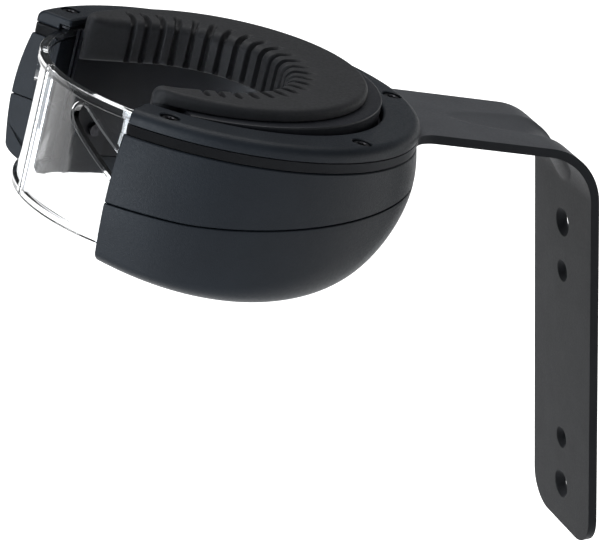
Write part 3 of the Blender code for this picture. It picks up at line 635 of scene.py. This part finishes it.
def build_gates():
    for tag, side in SIDES:
        bm = bmesh.new()
        skin(bm, sweep_rings(gate_section, GATE_MEET, GATE_TAIL, 1.5, 0.4, side, GATE_IN))
        gate = solid("clear_gate_" + tag, bm, "clear_plastic")
        bm = bmesh.new()
        skin(bm, slot_rings(side, SLOT_W / 2.0 + LIP_W, GATE_OUT - LIP_ROOT, GATE_OUT + LIP_OUT))
        merge(gate, solid("slot_lip", bm), "UNION")
        bm = bmesh.new()
        skin(bm, slot_rings(side, SLOT_W / 2.0, GATE_IN - 2.0, GATE_RIM + 2.0))
        merge(gate, solid("slot_tool", bm), "DIFFERENCE")
        finish_piece(gate, tag + "_gate", ["gate_" + tag])


# ---- cradle and pad -------------------------------------------------------------------------
def cradle_top(y):
    return CRADLE_Z + CRADLE_SLOPE * y


STRAIGHT = MOUTH_Y - PAD_FRONT_Y
MOUTH_LEN = 2.0 * STRAIGHT + pi * MOUTH_R


def mouth(s):
    """Point and outward normal on the edge of the U-shaped mouth, s from the +X tip round to -X."""
    if s <= STRAIGHT:
        return MOUTH_R, PAD_FRONT_Y + s, 1.0, 0.0
    a = (s - STRAIGHT) / MOUTH_R
    if a <= pi:
        return MOUTH_R * cos(a), MOUTH_Y + MOUTH_R * sin(a), cos(a), sin(a)
    return -MOUTH_R, MOUTH_Y - (s - STRAIGHT - pi * MOUTH_R), -1.0, 0.0


def reach_to(x, y, nx, ny, radius):
    """Distance from a point along a normal to a circle about the origin."""
    b = x * nx + y * ny
    return -b + sqrt(b * b - (x * x + y * y) + radius * radius)


def lay(s, points):
    """Put (outward distance, height over the cradle's top) points at station s of the mouth."""
    x, y, nx, ny = mouth(s)
    out = []
    for u, h in points:
        px, py = x + nx * u, y + ny * u
        out.append(Vector((px, py, cradle_top(py) + h)))
    return out


def rib_phase(s):
    """Groove strength 0 to 1 at s, and the distance from the nearest groove's middle."""
    first = RIB_START_Y - PAD_FRONT_Y
    pitch = (MOUTH_LEN - 2.0 * first) / RIB_COUNT
    k = round((s - first) / pitch)
    k = min(max(k, 0), RIB_COUNT)
    off = abs(s - first - k * pitch)
    return max(0.0, 1.0 - (off / GROOVE_HALF) ** 2) ** 0.6, off


def pad_profile(s):
    """Outline of the pad at s: straight inner wall, rounded lip, flat top, rounded outer edge."""
    x, y, nx, ny = mouth(s)
    out = reach_to(x, y - PAD_CENTRE_Y, nx, ny, PAD_OUT)
    k = min(1.0, out / PAD_FULL_W)
    back = min(PAD_WALL, out * 0.5)
    top = PAD_TOP - PAD_FALL * (y - PAD_FRONT_Y)
    lip, shoulder = PAD_LIP * k, PAD_SHOULDER * k
    turn = [pi / 2.0 * i / 10.0 for i in range(11)]
    wall_low, wall_top = PAD_BOTTOM + 0.9, top - lip - 0.3
    wall = [(0.0, wall_low + (wall_top - wall_low) * i / 7.0) for i in range(8)]
    arc = [(lip * (1.0 - cos(t)), top - lip * (1.0 - sin(t))) for t in turn]
    flat = [(lip + (out - shoulder - lip) * min(0.96, 0.9625 * i / 13.0), top) for i in range(1, 14)]
    edge = [(out - shoulder * (1.0 - sin(t)), top - shoulder * (1.0 - cos(t))) for t in turn]
    foot = [(out, 0.6), (out - 0.1, 0.38), (out - 0.3, GAP), (back, GAP), (back, PAD_BOTTOM),
            (0.9, PAD_BOTTOM), (0.27, PAD_BOTTOM + 0.27)]
    return wall + arc + flat + edge + foot


def nose(points, amount):
    """The outline lower by amount at its top and slimmer, for the rounded front ends."""
    wide = max(u for u, h in points)
    slim = 1.0 - 2.0 * min(NOSE_SLIM * amount, 0.4 * wide) / wide
    lower = amount / (PAD_TOP - PAD_BOTTOM)
    return [(wide / 2.0 + (u - wide / 2.0) * slim, h - lower * (h - PAD_BOTTOM)) for u, h in points]


def groove_depth(u, h, s):
    """How deep a groove is at (u, h) of the profile: full on the wall, running out over the top."""
    strength, off = rib_phase(s)
    underside = h < PAD_BOTTOM + 0.5
    outside = h < PAD_TOP * 0.5 and u > 3.5
    if underside or outside:
        return 0.0
    # the middle of a groove reaches farther than its edges, so that it ends round
    end = RIB_REACH - off * 0.9
    return RIB_DEPTH * strength * min(1.0, max(0.0, (end - u) / GROOVE_FADE)) ** 0.7


def build_pad():
    """Rubber pad with ribs round the mouth; the grooves between them run out over the top."""
    first = RIB_START_Y - PAD_FRONT_Y
    n = 7
    soft = [(NOSE_R * (1.0 - cos(k * pi / 2 / n)), NOSE_R * (1.0 - sin(k * pi / 2 / n))) for k in range(n)]
    front = soft + [(t, 0.0) for t in steps(NOSE_R, first - 1.3, 1.6)]
    middle = [(t, 0.0) for t in steps(first - 1.1, MOUTH_LEN - first + 1.1, 0.3)]
    stations = front + middle + [(MOUTH_LEN - t, d) for t, d in reversed(front)]
    rings = []
    for s, d in stations:
        base = pad_profile(s)
        points = []
        for i, (u, h) in enumerate(base):
            run = Vector(base[(i + 1) % len(base)]) - Vector(base[i - 1])
            normal = Vector((run.y, -run.x)).normalized()
            points.append(tuple(Vector((u, h)) + normal * groove_depth(u, h, s)))
        rings.append(lay(s, nose(points, d)))
    bm = bmesh.new()
    skin(bm, rings)
    pad = solid("ribbed_pad", bm, "black_rubber", 75.0)
    finish_piece(pad, "lifting_cradle", ["cradle_pad"])


def build_cradle():
    """Cradle moulding under the pad: flange, skirt, mouth wall and two legs that hold the cam pins."""
    start = CRADLE_FRONT_Y - PAD_FRONT_Y
    stations = steps(start, MOUTH_LEN - start, 1.2)
    rings = []
    for s in stations:
        x, y, nx, ny = mouth(s)
        out = reach_to(x, y, nx, ny, CRADLE_OUT)
        edge = min(s, MOUTH_LEN - s) - start
        # the flange steps in at the two front ends
        drop = FLANGE_DROP * max(0.0, min(1.0, (FLANGE_SETBACK - edge) / 1.5))
        low = SKIRT_BOTTOM - cradle_top(y + ny * out)
        inner, under = out - CRADLE_WALL, -FLANGE - drop
        rim = [(out - 2.8 - drop * 0.3, -drop), (out - 0.9, -drop), (out - 0.27, -0.27 - drop)]
        skirt = [(out, -0.9 - drop), (out, low), (inner, low), (inner, under), (RIB_WALL_OUT, under)]
        rib_wall = [(RIB_WALL_OUT, RIB_WALL_LOW), (RIB_WALL_IN, RIB_WALL_LOW), (RIB_WALL_IN, -drop)]
        rings.append(lay(s, rim + skirt + rib_wall))
    bm = bmesh.new()
    skin(bm, rings)
    cradle = solid("cradle_moulding", bm, "inner_plastic")
    bm = bmesh.new()
    inner, outer, join = CRADLE_OUT - CRADLE_WALL, CRADLE_OUT - 0.02, SKIRT_BOTTOM + 4.0
    leg = ((inner, LEG_BOTTOM), (outer, LEG_BOTTOM), (outer, join), (inner, join))
    for _, side in SIDES:
        skin(bm, [[polar(r, side * phi, z) for r, z in leg] for phi in steps(LEG_PHI[0], LEG_PHI[1], 2.0)])
    merge(cradle, solid("legs", bm), "UNION")
    finish_piece(cradle, "lifting_cradle", ["cradle"], 0.25)


def build_sleeve():
    """Guide sleeve inside the head, slotted for the two cam pins."""
    def section(phi):
        low = track_floor(phi) + GAP
        return rounded([(SLEEVE_IN, low, 0.2), (SLEEVE_OUT, low, 0.2), (SLEEVE_OUT, GATE_TOP, 0.2),
                        (SLEEVE_IN, GATE_TOP, 0.2)], 2)

    bm = bmesh.new()
    skin(bm, sweep_rings(section, SLEEVE_PHI, 360.0 - SLEEVE_PHI, 2.0, 0.0, 1.0, SLEEVE_IN))
    sleeve = solid("sleeve", bm, "inner_plastic")
    bm = bmesh.new()
    for _, side in SIDES:
        x, y = plan(1.0, side * SLOT_LOW[0])
        across = Vector((-y, x, 0.0)) * (PIN_D / 2.0 + 0.6)
        ends = []
        for r in (SLEEVE_IN - 2.0, SLEEVE_OUT + 2.0):
            low = Vector((x * r, y * r, SLOT_LOW[1] - 3.0))
            high = Vector((x * r, y * r, SLOT_LOW[1] + LIFT + 3.0))
            ends.append([low - across, low + across, high + across, high - across])
        skin(bm, ends)
    merge(sleeve, solid("pin_slots", bm), "DIFFERENCE")
    finish_piece(sleeve, "head", ["guide_sleeve"])


def dress(node, look, edge=0.0):
    """Give a CAD node that keeps its shape its material and soft edges."""
    obj = frame["nodes"][node]
    obj.data.materials.clear()
    obj.data.materials.append(LOOK[look])
    weld = obj.modifiers.new("weld", "WELD")
    weld.merge_threshold = 0.000005
    if edge > 0.0:
        mod = obj.modifiers.new("soft_edges", "BEVEL")
        mod.width = edge * 0.001
        mod.segments = 2
        mod.limit_method = "ANGLE"
        mod.angle_limit = radians(40.0)
        mod.harden_normals = True


def dress_cad():
    for tag, _ in SIDES:
        dress("lower_glide_" + tag, "inner_plastic")
        dress("upper_glide_" + tag, "inner_plastic")
        dress("cam_pin_" + tag, "black_screws")
        dress("cam_roller_" + tag, "inner_plastic", 0.2)
        dress("down_stop_" + tag, "black_rubber", 0.2)
        dress("return_spring_" + tag, "bright_steel")


# ---- stage ----------------------------------------------------------------------------------
CAMERA_AZ, CAMERA_EL, CAMERA_ROLL = 70.216, 24.266, -1.537     # degrees
CAMERA_DISTANCE = 1.25126
AIM = (0.02832, -0.06205)     # right of and above the ring origin, as the camera sees them
LENS, SENSOR = 225.065, 36.0
WORLD_LIGHT, FLOOR_LIGHT = 0.12, 3.6
FLOOR_DROP, FLOOR_HALF = 0.12, 6.0


def build_camera():
    a, e, r = radians(CAMERA_AZ), radians(CAMERA_EL), radians(CAMERA_ROLL)
    back = Vector((sin(a) * cos(e), -cos(a) * cos(e), sin(e)))
    right = Vector((cos(a), sin(a), 0.0))
    up = back.cross(right)
    x = right * cos(r) + up * sin(r)
    y = up * cos(r) - right * sin(r)
    place = RING + x * AIM[0] + y * AIM[1] + back * CAMERA_DISTANCE
    camera = bpy.data.cameras.new("camera")
    camera.lens = LENS
    camera.sensor_width = SENSOR
    camera.clip_end = 20.0
    obj = bpy.data.objects.new("camera", camera)
    obj.matrix_world = Matrix.Translation(place) @ Matrix((x, y, back)).transposed().to_4x4()
    bpy.context.scene.collection.objects.link(obj)
    bpy.context.scene.camera = obj


def softbox(name, place, target, size, power, colour=(1.0, 1.0, 1.0)):
    light = bpy.data.lights.new(name, "AREA")
    light.shape = "RECTANGLE"
    light.size, light.size_y = size
    light.energy = power
    light.color = colour
    obj = bpy.data.objects.new(name, light)
    aim = Vector(target) - Vector(place)
    obj.location = place
    obj.rotation_euler = aim.to_track_quat("-Z", "Y").to_euler()
    bpy.context.scene.collection.objects.link(obj)
    return obj


def build_stage():
    """Pale floor with its own light, dim surroundings and softboxes; returns the front one and the floor."""
    world = bpy.data.worlds.new("studio")
    world.use_nodes = True
    world.node_tree.nodes["Background"].inputs["Color"].default_value = (0.92, 0.96, 1.0, 1.0)
    world.node_tree.nodes["Background"].inputs["Strength"].default_value = WORLD_LIGHT
    bpy.context.scene.world = world
    bpy.context.scene.view_settings.view_transform = "Standard"
    centre = (CAD_BOX[0] + CAD_BOX[1]) / 2.0
    softbox("overhead", centre + Vector((-0.35, 0.15, 1.3)), centre, (1.5, 1.1), 18.0)
    front = softbox("front", centre + Vector((0.75, -1.35, 0.1)), centre, (0.9, 1.2), 34.0, (0.88, 0.94, 1.0))
    softbox("near_side", centre + Vector((1.6, 0.5, 0.5)), centre, (0.7, 0.9), 0.8, (0.95, 0.98, 1.0))

    bm = bmesh.new()
    low = CAD_BOX[0].z - FLOOR_DROP
    corners = ((-1, -1), (1, -1), (1, 1), (-1, 1))
    bm.faces.new([bm.verts.new((x * FLOOR_HALF, y * FLOOR_HALF, low)) for x, y in corners])
    mesh = bpy.data.meshes.new("floor")
    bm.to_mesh(mesh)
    bm.free()
    floor = bpy.data.objects.new("floor", mesh)
    floor.visible_diffuse = False
    bpy.context.scene.collection.objects.link(floor)
    n = Nodes("pale_floor")
    n.link(n.ramp(n.noise(3.0), (0.93, 0.93, 0.93), (0.95, 0.95, 0.95)), n.shader.inputs["Base Color"])
    n.set(Roughness=0.9)
    mesh.materials.append(n.mat)

    sun = bpy.data.lights.new("floor_light", "SUN")
    sun.energy = FLOOR_LIGHT
    sun.use_shadow = False
    lamp = bpy.data.objects.new("floor_light", sun)
    bpy.context.scene.collection.objects.link(lamp)
    light_only(lamp, [floor])
    return front, floor


def light_only(lamp, objects):
    """Let a light fall on these objects alone."""
    lit = bpy.data.collections.new("lit_by_" + lamp.name)
    for obj in objects:
        lit.objects.link(obj)
    lamp.light_linking.receiver_collection = lit


build_camera()
front_light, floor_plane = build_stage()
build_head()
steel = build_bracket()
build_screws()
build_gates()
build_pad()
build_cradle()
build_sleeve()
dress_cad()
# the front light is flagged off the bracket, whose wall plate faces it squarely
meshes = [obj for obj in bpy.context.scene.objects if obj.type == "MESH"]
light_only(front_light, [obj for obj in meshes if obj not in (steel, floor_plane)])
